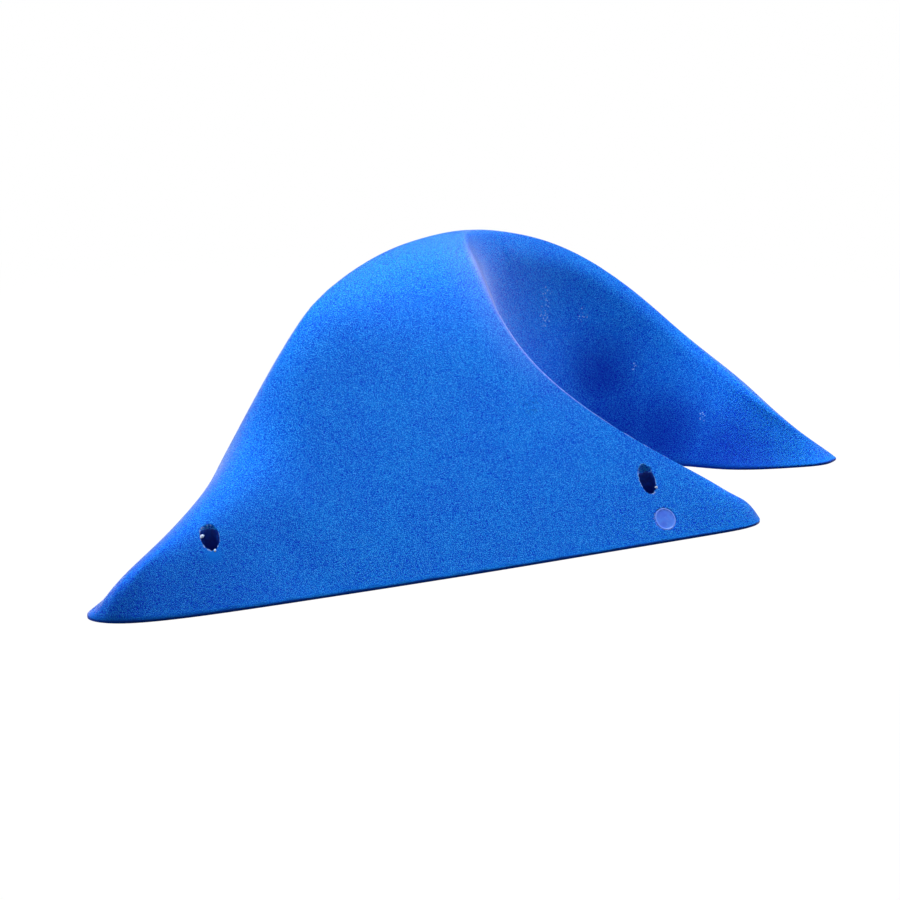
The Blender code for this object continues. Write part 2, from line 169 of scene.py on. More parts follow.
def newMaterial(name):
    made = bpy.data.materials.new(name)
    made.use_nodes = True
    made.node_tree.nodes.clear()
    return made


def finishShader(tree, inputs):
    shader = addNode(tree, "BsdfPrincipled", inputs)
    addNode(tree, "OutputMaterial", {"Surface": shader})


def combined(tree, operation, shares):
    result = shares[0]
    for share in shares[1:]:
        result = addNode(tree, "Math", {0: result, 1: share}, operation=operation)
    return result


def anyOf(tree, *shares):
    return combined(tree, "MAXIMUM", shares)


def allOf(tree, *shares):
    return combined(tree, "MULTIPLY", shares)


def near(tree, place, centre, reach, share=1.0):     # the share at the centre, 0 from reach on
    gap = addNode(tree, "VectorMath", {0: place, 1: centre}, output="Value", operation="DISTANCE")
    return addNode(tree, "MapRange", {"Value": gap, "From Min": reach, "From Max": 0, "To Max": share},
                   **easing)


# Where the CAD has its screw axes and its badge

screwAxes = {}
for nodeName in frame["nodes"]:
    if nodeName.startswith("washer_"):
        low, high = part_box(nodeName)
        screwAxes[nodeName] = (low + high) / 2


def badgeAxis():
    mesh = frame["nodes"]["badge_disc"].data
    low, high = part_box("badge_disc")
    biggest = max(mesh.polygons, key=lambda p: p.area)
    facing = biggest.normal if biggest.normal.z > 0 else -biggest.normal
    top = max(facing.dot(v.co) for v in mesh.vertices)
    middle = (low + high) / 2
    return middle + facing * (top - facing.dot(middle)), facing.copy()


badgeCentre, badgeFacing = badgeAxis()


# Screw recesses: a moulded upper part with a ledge, then a drilled bore down to the washer, with a torn
# mouth. The outside material reads the ovals too, for the pale edges of the mouths

recessSettings = {
    "radius": 5.05 * mm,
    "wider": 5.4 * mm,              # moulded part, above the ledge
    "sides": 40,
    "seat": 10 * mm,
    "calmHeight": 13 * mm,          # straight and clean up to here, for the washer
    "step": 1.8 * mm,
    "top": 60 * mm,
    "ledgeRise": 0.6 * mm,
    "raggedness": 0.22 * mm,
    "seed": 11,
    "clearance": 0.1 * mm,
    "hole": 2.75 * mm,
    "holeBelow": 1 * mm,
    "ledges": {"washer_tail": 34.2 * mm, "washer_near_horn": 31.5 * mm, "washer_far_horn": 37 * mm,
               "washer_back": 41 * mm},
    "neck": 16 * mm,                # above this the bore is oval: its width, its depth and its shift
    "ovals": {"washer_tail": (0.94, 0.80, 0.6 * mm), "washer_near_horn": (0.89, 0.86, 0.4 * mm),
              "washer_far_horn": (0.95, 0.95, 0), "washer_back": (0.95, 0.95, 0)},
}


def screwGap(tree, place):          # distance in plan to the nearest screw axis, in its oval's measure
    gaps = []
    for name, axis in screwAxes.items():
        width, depth, shift = recessSettings["ovals"][name]
        centre = (axis.x, axis.y + shift, 0)
        here = addNode(tree, "VectorMath", {0: place, 1: centre}, operation="SUBTRACT")
        here = addNode(tree, "VectorMath", {0: here, 1: (1 / width, 1 / depth, 0)}, operation="MULTIPLY")
        gaps.append(addNode(tree, "VectorMath", {0: here}, output="Value", operation="LENGTH"))
    return combined(tree, "MINIMUM", gaps)


# Outside of the casting: polyurethane from a sand-textured mould. Matt and finely grained, blue right
# through, paler where it is stressed at the drilled mouths and along the crest, where wear and a painted
# highlight mix. Painted sheen on the lip of the bay, painted shade low in the bay, at the tail end and
# on the rim by the wall side, and painted glints on a few grains

castPolyurethane = {
    "deep": "#0032DA",
    "pale": "#0E98FC",
    "brightGrain": "#62B4FF",
    # painted sheen for the lip of the bay
    "wearAndHighlight": "#C4CCFA",
    "paintedSheen": "#A6AEF4",
    "stressed": "#A9C8F4",
    # painted glints on a few grains
    "paintedGlint": "#A8DCFF",
    # colour of the scuff, and of the painted shade along the low rim
    "scuffAndRimShade": "#114AC0",
    # painted shade, low in the bay and towards the tail end
    "hollow": "#0072BC",
    "grain": 0.43 * mm,             # real sand grain is about half of this, too fine to show
    "grainHeight": 0.3 * mm,
    "brightShare": 0.4,
    "mottle": 24 * mm,
    "mottleSwing": 0.06,
    "roughness": 0.55,
    "roughSwing": 0.08,
    "specular": 0.03,
    "sheen": 1.0,                   # the dusty bloom of a matt moulded surface seen from the side
    "sheenRoughness": 0.28,
    "sheenTint": "#D4DAFF",
    "sheenPaintShares": (0.25, 0.85),     # between the grains and on them
    "lineShares": (0.15, 0.8),      # between the pale beads and on them
    "crestLine": 0.7 * mm,
    "lineTop": 122 * mm,
    "lineFade": 25 * mm,
    "bead": 1.6 * mm,
    "mouth": 5.1 * mm,
    "mouthRing": 0.45 * mm,
    "ringShare": 0.5,
    "tearInwards": 0.3 * mm,
    "tearOutwards": 0.45 * mm,
    "rimShadeHeight": 1.3 * mm,
    "rimShadeWaver": 0.25 * mm,
    "rimShadeBlur": 0.15 * mm,
    "rimShadeShare": 0.95,
    "calmHeight": 4.5 * mm,         # from here down the grain fades, to the calm share and level
    "calmShare": 0.5,
    "calmLevel": 0.6,
    "calmPatch": (inMillimetres(-175.6, -97.2, 24.6), 7 * mm),
    "scuff": (inMillimetres(13.2, -70.5, 68.8), 9 * mm, 0.5),   # place, reach and share
    "hollows": ((inMillimetres(122, 36, 8), 74 * mm, 0.9), (inMillimetres(120, 43, 46), 42 * mm, 0.9),
                (inMillimetres(150, 24, 12), 52 * mm, 0.9), (inMillimetres(180, 0, 0), 48 * mm, 0.9),
                (inMillimetres(-235, -100, -10), 150 * mm, 0.42)),
    "paintedGlintSpots": ((inMillimetres(86, 40.5, 97), 7 * mm), (inMillimetres(83, 38, 84), 7 * mm),
                 (inMillimetres(85, 39.5, 90), 6 * mm), (inMillimetres(111.3, 44.6, 82.3), 6 * mm),
                 (inMillimetres(139.9, 37, 51.9), 3.5 * mm), (inMillimetres(169.3, 11.5, 25), 4 * mm)),
    "glintCell": 1.15 * mm,
    "glintShare": 0.9,
}


def outsideMaterial():
    s = castPolyurethane
    made = newMaterial("sandTexturedCastPolyurethane")
    tree = made.node_tree
    place = addNode(tree, "TexCoord", output="Object")
    height = addNode(tree, "SeparateXYZ", {0: place}, output="Z")
    grain = addNode(tree, "TexNoise", {"Vector": place, "Scale": 1 / s["grain"], "Detail": 1})
    mottle = addNode(tree, "TexNoise", {"Vector": place, "Scale": 1 / s["mottle"], "Detail": 2})
    beads = addNode(tree, "TexNoise", {"Vector": place, "Scale": 1 / s["bead"], "Detail": 0})

    # sand grain, calmer just above the wall face and under the tail recess
    low = addNode(tree, "MapRange", {"Value": height, "From Min": s["calmHeight"],
                                     "From Max": s["rimShadeHeight"], "To Max": s["calmShare"]}, **easing)
    calm = anyOf(tree, low, near(tree, place, *s["calmPatch"]))
    loud = addNode(tree, "Math", {0: 1.0, 1: calm}, operation="SUBTRACT")
    level = addNode(tree, "MapRange", {"Value": grain, "From Min": 0.4, "From Max": 0.6})
    swing = addNode(tree, "MapRange", {"Value": mottle, "From Min": 0.3, "From Max": 0.7,
                                       "To Min": -s["mottleSwing"], "To Max": s["mottleSwing"]}, **easing)
    level = addNode(tree, "Math", {0: level, 1: swing}, operation="ADD")
    level = addNode(tree, "Mix", {0: calm, 2: level, 3: s["calmLevel"]}, data_type="FLOAT")
    colour = addNode(tree, "Mix", {0: level, 6: s["deep"], 7: s["pale"]}, **inColour)
    bright = addNode(tree, "MapRange", {"Value": grain, "From Min": 0.54, "From Max": 0.68,
                                        "To Max": s["brightShare"]}, **easing)
    bright = allOf(tree, bright, loud)
    colour = addNode(tree, "Mix", {0: bright, 6: colour, 7: s["brightGrain"]}, **inColour)

    # painted shade: a deeper colour low in the bay, and darker towards the end of the tail
    hollow = anyOf(tree, *[near(tree, place, *spot) for spot in s["hollows"]])
    colour = addNode(tree, "Mix", {0: hollow, 6: colour, 7: s["hollow"]}, blend_type="MULTIPLY", **inColour)

    # painted sheen on the lip of the bay; a pale bead line on the crest, partly wear, partly painted
    # highlight
    paintedSheen = addNode(tree, "Attribute", output="Fac", attribute_name="lipPaintedSheen")
    between, on = s["sheenPaintShares"]
    patchy = addNode(tree, "MapRange", {"Value": grain, "From Min": 0.2, "From Max": 0.8,
                                        "To Min": between, "To Max": on}, **easing)
    colour = addNode(tree, "Mix", {0: allOf(tree, paintedSheen, patchy), 6: colour, 7: s["paintedSheen"]}, **inColour)
    gap = addNode(tree, "Attribute", output="Fac", attribute_name="crestGap")
    line = addNode(tree, "MapRange", {"Value": gap, "From Min": s["crestLine"], "From Max": 0}, **easing)
    between, on = s["lineShares"]
    beaded = addNode(tree, "MapRange", {"Value": beads, "From Min": 0.35, "From Max": 0.6,
                                        "To Min": between, "To Max": on}, **easing)
    lower = addNode(tree, "MapRange", {"Value": height, "From Min": s["lineTop"],
                                       "From Max": s["lineTop"] - s["lineFade"]}, **easing)
    # the pale crest line is partly wear and partly painted highlight
    wearAndHighlight = allOf(tree, line, beaded, lower)
    colour = addNode(tree, "Mix", {0: wearAndHighlight, 6: colour, 7: s["wearAndHighlight"]}, **inColour)

    # pale, ragged edges where the drill tore through, only on the moulded side of the edge
    tear = addNode(tree, "MapRange", {"Value": beads, "From Min": 0.3, "From Max": 0.7,
                                      "To Min": -s["tearInwards"], "To Max": s["tearOutwards"]}, **easing)
    torn = addNode(tree, "Math", {0: screwGap(tree, place), 1: tear}, operation="ADD")
    ring = addNode(tree, "MapRange", {"Value": torn, "From Min": s["mouth"] + s["mouthRing"],
                                      "From Max": s["mouth"]}, **easing)
    normal = addNode(tree, "NewGeometry", output="Normal")
    upward = addNode(tree, "SeparateXYZ", {0: normal}, output="Z")
    outer = addNode(tree, "MapRange", {"Value": upward, "From Min": 0.15, "From Max": 0.4,
                                       "To Max": s["ringShare"]}, **easing)
    colour = addNode(tree, "Mix", {0: allOf(tree, ring, outer), 6: colour, 7: s["stressed"]}, **inColour)

    # a scuff, then painted glints on a few grains
    rubbed = addNode(tree, "MapRange", {"Value": beads, "From Min": 0.5, "From Max": 0.65}, **easing)
    scuff = allOf(tree, near(tree, place, *s["scuff"]), rubbed)
    colour = addNode(tree, "Mix", {0: scuff, 6: colour, 7: s["scuffAndRimShade"]}, **inColour)
    cells = addNode(tree, "TexVoronoi", {"Vector": place, "Scale": 1 / s["glintCell"]}, output="Distance")
    dots = addNode(tree, "MapRange", {"Value": cells, "From Min": 0.45, "From Max": 0.2}, **easing)
    spots = anyOf(tree, *[near(tree, place, *spot) for spot in s["paintedGlintSpots"]])
    spots = addNode(tree, "MapRange", {"Value": spots, "From Min": 0.1, "From Max": 0.5}, **easing)
    some = addNode(tree, "MapRange", {"Value": beads, "From Min": 0.44, "From Max": 0.6,
                                      "To Max": s["glintShare"]}, **easing)
    paintedGlint = allOf(tree, dots, spots, some)
    colour = addNode(tree, "Mix", {0: paintedGlint, 6: colour, 7: s["paintedGlint"]}, **inColour)

    # painted shade along the low rim on the wall side, its top edge wavering
    waver = addNode(tree, "MapRange", {"Value": mottle, "From Min": 0.35, "From Max": 0.65,
                                       "To Min": -s["rimShadeWaver"], "To Max": s["rimShadeWaver"]}, **easing)
    edge = addNode(tree, "Math", {0: height, 1: waver}, operation="ADD")
    edge = addNode(tree, "MapRange", {"Value": edge, "From Min": s["rimShadeHeight"] + s["rimShadeBlur"],
                                      "From Max": s["rimShadeHeight"] - s["rimShadeBlur"],
                                      "To Max": s["rimShadeShare"]}, **easing)
    colour = addNode(tree, "Mix", {0: edge, 6: colour, 7: s["scuffAndRimShade"]}, **inColour)

    rough = addNode(tree, "MapRange", {"Value": grain, "From Min": 0.2, "From Max": 0.8,
                                       "To Min": s["roughness"] - s["roughSwing"],
                                       "To Max": s["roughness"] + s["roughSwing"]}, **easing)
    bump = addNode(tree, "Bump", {"Height": grain, "Distance": s["grainHeight"], "Strength": loud})
    finishShader(tree, {"Base Color": colour, "Roughness": rough, "Normal": bump,
                        "Specular IOR Level": s["specular"], "Sheen Weight": s["sheen"],
                        "Sheen Roughness": s["sheenRoughness"], "Sheen Tint": s["sheenTint"]})
    return made


# Wall side of the casting: poured open, so smooth and a little glossy, with flow marks and small pits

openPouredBack = {
    "colour": "#0A5CCB",
    "deeper": "#0749A8",
    "flow": 35 * mm,
    "flowHeight": 0.8 * mm,
    "pit": 3.5 * mm,
    "pitDepth": 0.25 * mm,
    "roughness": (0.3, 0.45),       # on the glossy and on the duller flow marks
    "specular": 0.4,
}


def backMaterial():
    s = openPouredBack
    made = newMaterial("openPouredPolyurethane")
    tree = made.node_tree
    place = addNode(tree, "TexCoord", output="Object")
    flow = addNode(tree, "TexNoise", {"Vector": place, "Scale": 1 / s["flow"], "Detail": 4})
    cells = addNode(tree, "TexVoronoi", {"Vector": place, "Scale": 1 / s["pit"]}, output="Distance")
    pits = addNode(tree, "MapRange", {"Value": cells, "From Min": 0.1, "From Max": 0.22}, **easing)
    share = addNode(tree, "MapRange", {"Value": flow, "From Min": 0.35, "From Max": 0.65}, **easing)
    colour = addNode(tree, "Mix", {0: share, 6: s["deeper"], 7: s["colour"]}, **inColour)
    glossy, dull = s["roughness"]
    rough = addNode(tree, "MapRange", {"Value": flow, "From Min": 0.3, "From Max": 0.7,
                                       "To Min": glossy, "To Max": dull}, **easing)
    bump = addNode(tree, "Bump", {"Height": pits, "Distance": s["pitDepth"], "Strength": 0.7})
    bump = addNode(tree, "Bump", {"Height": flow, "Distance": s["flowHeight"], "Strength": 0.5,
                                  "Normal": bump})
    finishShader(tree, {"Base Color": colour, "Roughness": rough, "Normal": bump,
                        "Specular IOR Level": s["specular"]})
    return made


# Walls of the screw recesses: glazed by the drill, with fine rings, and painted dark navy as painted shade
# deep in the bores

drilledBoreInPaintedShade = {
    # dark navy: painted shade deep in the bore
    "colour": "#0A2E96",
    "edge": "#1250CC",
    "ring": 0.7 * mm,
    "ringDepth": 0.05 * mm,
    "ringWaver": 1.5,
    "patch": 3 * mm,
    "edgeShare": 0.7,
    "roughness": (0.45, 0.65),
    "specular": 0.2,
}


def boreMaterial():
    s = drilledBoreInPaintedShade
    made = newMaterial("drilledPolyurethaneInPaintedShade")
    tree = made.node_tree
    place = addNode(tree, "TexCoord", output="Object")
    perRing = 0.3                   # of a wave texture's scale, for one band to a ring
    rings = addNode(tree, "TexWave", {"Vector": place, "Scale": perRing / s["ring"],
                                      "Distortion": s["ringWaver"]}, output="Fac", bands_direction="Z")
    patches = addNode(tree, "TexNoise", {"Vector": place, "Scale": 1 / s["patch"], "Detail": 2})
    share = addNode(tree, "MapRange", {"Value": patches, "From Min": 0.45, "From Max": 0.75,
                                       "To Max": s["edgeShare"]}, **easing)
    colour = addNode(tree, "Mix", {0: share, 6: s["colour"], 7: s["edge"]}, **inColour)
    glossy, dull = s["roughness"]
    rough = addNode(tree, "MapRange", {"Value": patches, "From Min": 0.3, "From Max": 0.7,
                                       "To Min": glossy, "To Max": dull}, **easing)
    bump = addNode(tree, "Bump", {"Height": rings, "Distance": s["ringDepth"], "Strength": 0.6})
    finishShader(tree, {"Base Color": colour, "Roughness": rough, "Normal": bump,
                        "Specular IOR Level": s["specular"]})
    return made


outsideSlot, backSlot, boreSlot = 0, 1, 2
castingMaterials = (outsideMaterial(), backMaterial(), boreMaterial())


# Casting: the CAD skin, closed over its holes, refined, then cut again with worn recesses

castingSettings = {
    "mergeDistance": 0.01 * mm,
    "flatFace": 0.01 * mm,          # corners lower than this lie on the wall face
    "rimHeight": 1.2 * mm,
    "rimTolerance": 0.05 * mm,
    "recessReach": 5.2 * mm,        # CAD recess walls lie within this of their axis
    "pocketReach": 6.5 * mm,        # CAD pocket walls lie within this of the badge
    "holeSides": 80,                # the largest hole to patch, not the wall outline
    "skinQuads": (30, 60),          # degrees between two triangles, and off a right angle
    "coreQuads": (40, 60),
    "creaseFrom": -30 * mm,
    "creaseSteps": ((20, 0.3), (30, 0.3), (40, 0.4)),   # degrees, added crease
    "levels": 2,
    "crestAngle": 32,
    "crestRounds": 2,
    "crestRounding": 0.5,
    "coreDrop": 8 * mm,
    "coreFillet": 2.5 * mm,
    "coreEdge": 50,
    "smoothAngle": 30,
    "paleCrestLine": 40 * mm,            # the pale crest line, wear and painted highlight, runs on the near ridge, below the dome
    "paleCrestTurn": 0.8,
    "paleCrestTop": 132 * mm,
    "sheenPaintReach": 16 * mm,
    "sheenPaintPeak": 0.88,
    "sheenPaintHeights": (50 * mm, 86 * mm),
    "sheenPaintTurn": 2,                  # how fast the painted sheen grows as the surface turns to the bay
}


def dress(tool, slotNumber, test=lambda centre: True):
    giveMaterials(tool, *castingMaterials)
    for polygon in tool.data.polygons:
        if test(polygon.center):
            polygon.material_index = slotNumber


def nearScrew(point):
    reach = castingSettings["recessReach"]
    return any((point.xy - axis.xy).length < reach for axis in screwAxes.values())


def nearBadge(point):
    return (point - badgeCentre).length < castingSettings["pocketReach"]


def looseSkinAndCores():
    s = castingSettings
    source = frame["nodes"]["hold_body"]
    skin = bpy.data.objects.new("holdCasting", source.data.copy())
    bpy.context.scene.collection.objects.link(skin)
    openMesh(skin)
    bpy.ops.mesh.select_all(action="SELECT")
    bpy.ops.mesh.remove_doubles(threshold=s["mergeDistance"])
    pick(skin, "faces", lambda face: all(v.co.z < s["flatFace"] for v in face.verts))
    bpy.ops.mesh.delete(type="FACE")
    bpy.ops.mesh.select_all(action="SELECT")
    bpy.ops.mesh.separate(type="LOOSE")
    closeMesh()
    parts = [o for o in bpy.context.scene.objects if o.name.startswith("holdCasting")]
    parts.sort(key=lambda o: len(o.data.vertices), reverse=True)
    return parts[0], parts[1:]


def patchSkin(skin):
    s = castingSettings
    openMesh(skin)
    pick(skin, "faces", lambda face: all(nearScrew(v.co) for v in face.verts))
    bpy.ops.mesh.delete(type="FACE")
    pick(skin, "faces", lambda face: all(nearBadge(v.co) for v in face.verts))
    bpy.ops.mesh.delete(type="FACE")
    bpy.ops.mesh.select_mode(type="EDGE")
    bpy.ops.mesh.select_all(action="SELECT")
    bpy.ops.mesh.fill_holes(sides=s["holeSides"])
    makeQuads(*s["skinQuads"])
    closeMesh()


def refineSkin(skin):
    s = castingSettings
    openMesh(skin, "EDGE")
    for angle, crease in s["creaseSteps"]:          # the tail keeps no crease, it is rounded in the photo
        pick(skin, "edges", lambda edge: len(edge.link_faces) == 2
             and edge.calc_face_angle(0) > math.radians(angle)
             and min(v.co.x for v in edge.verts) > s["creaseFrom"])
        bpy.ops.transform.edge_crease(value=crease)
    onRim = lambda v: abs(v.co.z - s["rimHeight"]) < s["rimTolerance"]
    pick(skin, "edges", lambda edge: all(onRim(v) for v in edge.verts) and len(edge.link_faces) == 2)
    bpy.ops.transform.edge_crease(value=1)
    closeMesh()
    applyModifier(skin, "SUBSURF", levels=s["levels"], render_levels=s["levels"])
    openMesh(skin, "EDGE")
    sharp = math.radians(s["crestAngle"])
    pick(skin, "edges", lambda edge: not edge.is_boundary and edge.calc_face_angle(0) > sharp
         and min(v.co.z for v in edge.verts) > 2 * s["rimHeight"])
    bpy.ops.mesh.vertices_smooth(factor=s["crestRounding"], repeat=s["crestRounds"])
    paleCrestPart = lambda p: p.x > 0 and p.y < s["paleCrestLine"] - s["paleCrestTurn"] * p.x and p.z < s["paleCrestTop"]
    verts = bmesh.from_edit_mesh(skin.data).verts
    crest = [v.co.copy() for v in verts if v.select and paleCrestPart(v.co)]
    closeMesh()
    return crest


def closeSkin(skin):
    openMesh(skin, "EDGE")
    pick(skin, "edges", lambda edge: edge.is_boundary)
    bpy.ops.mesh.edge_face_add()
    turnOutwards()
    closeMesh()
    dress(skin, backSlot, lambda centre: centre.z < castingSettings["flatFace"])


def markCrestGapAndPaintedSheen(piece, crest):               # distance to the crest, and a painted sheen on its bay side
    s = castingSettings
    tree = KDTree(len(crest))
    for index, point in enumerate(crest):
        tree.insert(point, index)
    tree.balance()
    gaps = piece.data.attributes.new("crestGap", "FLOAT", "POINT")
    paintedSheen = piece.data.attributes.new("lipPaintedSheen", "FLOAT", "POINT")
    low, high = s["sheenPaintHeights"]
    for vertex in piece.data.vertices:
        gap = tree.find(vertex.co)[2]
        fading = math.exp(-(gap / s["sheenPaintReach"]) ** 2)
        lift = min(1, max(0, (vertex.co.z - low) / (high - low)))
        side = min(1, max(0, s["sheenPaintTurn"] * vertex.normal.x))
        gaps.data[vertex.index].value = gap
        paintedSheen.data[vertex.index].value = s["sheenPaintPeak"] * fading * lift * side


def coreTool(cores):
    s = castingSettings
    workOn(cores[0])
    for core in cores:
        core.select_set(True)
    bpy.ops.object.join()
    tool = bpy.context.view_layer.objects.active
    openMesh(tool, "EDGE")
    makeQuads(*s["coreQuads"])
    pick(tool, "edges", lambda edge: edge.is_boundary)
    pushOut(0, 0, -s["coreDrop"])
    bpy.ops.mesh.select_all(action="SELECT")
    bpy.ops.mesh.fill_holes(sides=0)
    turnOutwards()
    closeMesh()
    applyModifier(tool, "BEVEL", width=s["coreFillet"], segments=3, limit_method="ANGLE",
                  angle_limit=math.radians(s["coreEdge"]))
    dress(tool, backSlot)
    return tool


def recessTool(name, axis, seed):
    s = recessSettings
    ledge = s["ledges"][name]
    width, depth, shift = s["ovals"][name]
    bpy.ops.object.select_all(action="DESELECT")
    bpy.ops.mesh.primitive_circle_add(vertices=s["sides"], radius=s["radius"], fill_type="NGON",
                                      location=(axis.x, axis.y, s["seat"]), enter_editmode=True)
    tool = bpy.context.object
    tool.name = name + "Recess"
    bpy.ops.mesh.select_mode(type="FACE")
    bpy.ops.mesh.select_all(action="SELECT")
    pushOut(0, 0, s["calmHeight"] - s["seat"])
    height = s["calmHeight"]
    while height < s["top"]:
        step = s["step"] if height >= ledge else min(s["step"], ledge - height)
        pushOut(0, 0, step)
        height += step
        if height - step < s["neck"] <= height:
            bpy.ops.transform.resize(value=(width, depth, 1))
            bpy.ops.transform.translate(value=(0, shift, 0))
        if height == ledge:
            pushOut(0, 0, s["ledgeRise"])
            height += s["ledgeRise"]
            wider = s["wider"] / s["radius"]
            bpy.ops.transform.resize(value=(wider, wider, 1))
    turnOutwards()
    calm = s["calmHeight"] - s["seat"] + s["clearance"]
    pick(tool, "verts", lambda v: v.co.z > calm)
    bpy.ops.transform.vertex_random(offset=s["raggedness"], uniform=1, normal=0, seed=seed)
    closeMesh()
    drilled = ledge - s["seat"] + 2 * s["clearance"]
    dress(tool, boreSlot, lambda centre: centre.z < drilled)
    return tool


def holeTool(name, axis):
    s = recessSettings
    bpy.ops.object.select_all(action="DESELECT")
    bpy.ops.mesh.primitive_cylinder_add(vertices=s["sides"], radius=s["hole"], depth=2 * s["seat"],
                                        location=(axis.x, axis.y, s["seat"] / 2 - s["holeBelow"]))
    tool = bpy.context.object
    tool.name = name + "Hole"
    dress(tool, boreSlot)
    return tool


def makeCasting():
    print("casting: skin and cores from the CAD body")
    skin, cores = looseSkinAndCores()
    patchSkin(skin)
    crest = refineSkin(skin)
    closeSkin(skin)
    print("casting: cutting cores, recesses and badge pocket")
    cutAway(skin, coreTool(cores))
    print("casting: cores", len(skin.data.polygons), "faces")
    for order, (name, axis) in enumerate(sorted(screwAxes.items())):
        cutAway(skin, recessTool(name, axis, order + recessSettings["seed"]))
        cutAway(skin, holeTool(name, axis))
        print("casting:", name, len(skin.data.polygons), "faces")
    cutAway(skin, pocketTool())
    markCrestGapAndPaintedSheen(skin, crest)
    workOn(skin)
    bpy.ops.object.shade_smooth_by_angle(angle=math.radians(castingSettings["smoothAngle"]))
    return skin


# Badge: a smooth moulded inlay of satin polypropylene, bare, in a shallow pocket. It has a soft, paler rim
# round a slightly dished middle with rubbed streaks

badgeSettings = {
    "radius": 5.9 * mm,
    "thickness": 1.2 * mm,
    "rim": 0.75 * mm,
    "lip": 0.2 * mm,
    "dish": 0.14 * mm,
    "crown": ((1.6 * mm, 0.03 * mm), (1.6 * mm, 0.02 * mm)),    # width and rise of each step to the middle
    "softEdge": 0.09 * mm,
    "lift": 0.05 * mm,
    "downhill": 0.9 * mm,           # a little lower than the CAD disc, as in the photo
    "sides": 96,
    "smoothAngle": 35,
    "pocketRadius": 6.05 * mm,
    "pocketSides": 64,
    "pocketDepth": 1.5 * mm,
    "pocketTool": 3 * mm,
    "plastic": "#4A86FA",
    "rubbed": "#7DA2FF",
    "dull": "#4270EE",
    "rub": 1.6 * mm,
    "rubTurn": 65,                  # degrees
    "rubStretch": 6,
    "rubShare": 0.5,
    "rubDepth": 0.02 * mm,
    "rimShare": 0.55,
    "cloud": 4 * mm,
    "roughness": (0.32, 0.45),
    "specular": 0.35,
}

slopeDown = (badgeFacing * badgeFacing.z - Vector((0, 0, 1))).normalized()
inlayCentre = badgeCentre + slopeDown * badgeSettings["downhill"]


def pocketTool():
    s = badgeSettings
    bpy.ops.object.select_all(action="DESELECT")
    bpy.ops.mesh.primitive_cylinder_add(vertices=s["pocketSides"], radius=s["pocketRadius"],
                                        depth=2 * s["pocketTool"])
    tool = bpy.context.object
    faceAlong(tool, badgeFacing)
    tool.location = inlayCentre + badgeFacing * (s["pocketTool"] - s["pocketDepth"])
    dress(tool, outsideSlot)
    return tool


def badgeMaterial():
    s = badgeSettings
    made = newMaterial("satinMouldedPolypropylene")
    tree = made.node_tree
    place = addNode(tree, "TexCoord", output="Object")
    streaks = addNode(tree, "Mapping", {"Vector": place, "Rotation": (0, 0, math.radians(s["rubTurn"])),
                                        "Scale": (1, s["rubStretch"], 1)})
    rubs = addNode(tree, "TexNoise", {"Vector": streaks, "Scale": 1 / s["rub"], "Detail": 3})
    clouds = addNode(tree, "TexNoise", {"Vector": place, "Scale": 1 / s["cloud"], "Detail": 2})
    share = addNode(tree, "MapRange", {"Value": clouds, "From Min": 0.3, "From Max": 0.7}, **easing)
    colour = addNode(tree, "Mix", {0: share, 6: s["dull"], 7: s["plastic"]}, **inColour)
    outwards = addNode(tree, "VectorMath", {0: place, 1: inlayCentre}, output="Value", operation="DISTANCE")
    rim = addNode(tree, "MapRange", {"Value": outwards, "From Min": s["radius"] - 1.6 * s["rim"],
                                     "From Max": s["radius"] - 0.4 * s["rim"], "To Max": s["rimShare"]},
                  **easing)
    streaky = addNode(tree, "MapRange", {"Value": rubs, "From Min": 0.55, "From Max": 0.75,
                                         "To Max": s["rubShare"]}, **easing)
    colour = addNode(tree, "Mix", {0: anyOf(tree, rim, streaky), 6: colour, 7: s["rubbed"]}, **inColour)
    glossy, dull = s["roughness"]
    rough = addNode(tree, "MapRange", {"Value": rubs, "From Min": 0.3, "From Max": 0.7,
                                       "To Min": glossy, "To Max": dull}, **easing)
    bump = addNode(tree, "Bump", {"Height": rubs, "Distance": s["rubDepth"], "Strength": 0.5})
    finishShader(tree, {"Base Color": colour, "Roughness": rough, "Normal": bump,
                        "Specular IOR Level": s["specular"]})
    return made


def makeBadge():
    s = badgeSettings
    bpy.ops.object.select_all(action="DESELECT")
    bpy.ops.mesh.primitive_circle_add(vertices=s["sides"], radius=s["radius"], fill_type="NGON",
                                      location=(0, 0, s["lift"] - s["thickness"]), enter_editmode=True)
    badge = bpy.context.object
    badge.name = "badgeInlay"
    bpy.ops.mesh.select_mode(type="FACE")
    bpy.ops.mesh.select_all(action="SELECT")
    pushOut(0, 0, s["thickness"])
    bpy.ops.mesh.inset(thickness=s["rim"])
    bpy.ops.mesh.inset(thickness=s["lip"], depth=-s["dish"])
    for width, rise in s["crown"]:
        bpy.ops.mesh.inset(thickness=width, depth=rise)
    turnOutwards()
    closeMesh()
    applyModifier(badge, "BEVEL", width=s["softEdge"], segments=2, limit_method="ANGLE",
                  angle_limit=math.radians(30))
    faceAlong(badge, badgeFacing)
    badge.location = inlayCentre + badgeFacing * badge.location.z
    bpy.ops.object.transform_apply(location=True, rotation=True, scale=True)
    bpy.ops.object.shade_smooth_by_angle(angle=math.radians(s["smoothAngle"]))
    return badge


# Torn chips at the mouths of the two recesses that show: tapered flakes of stressed, whitened plastic

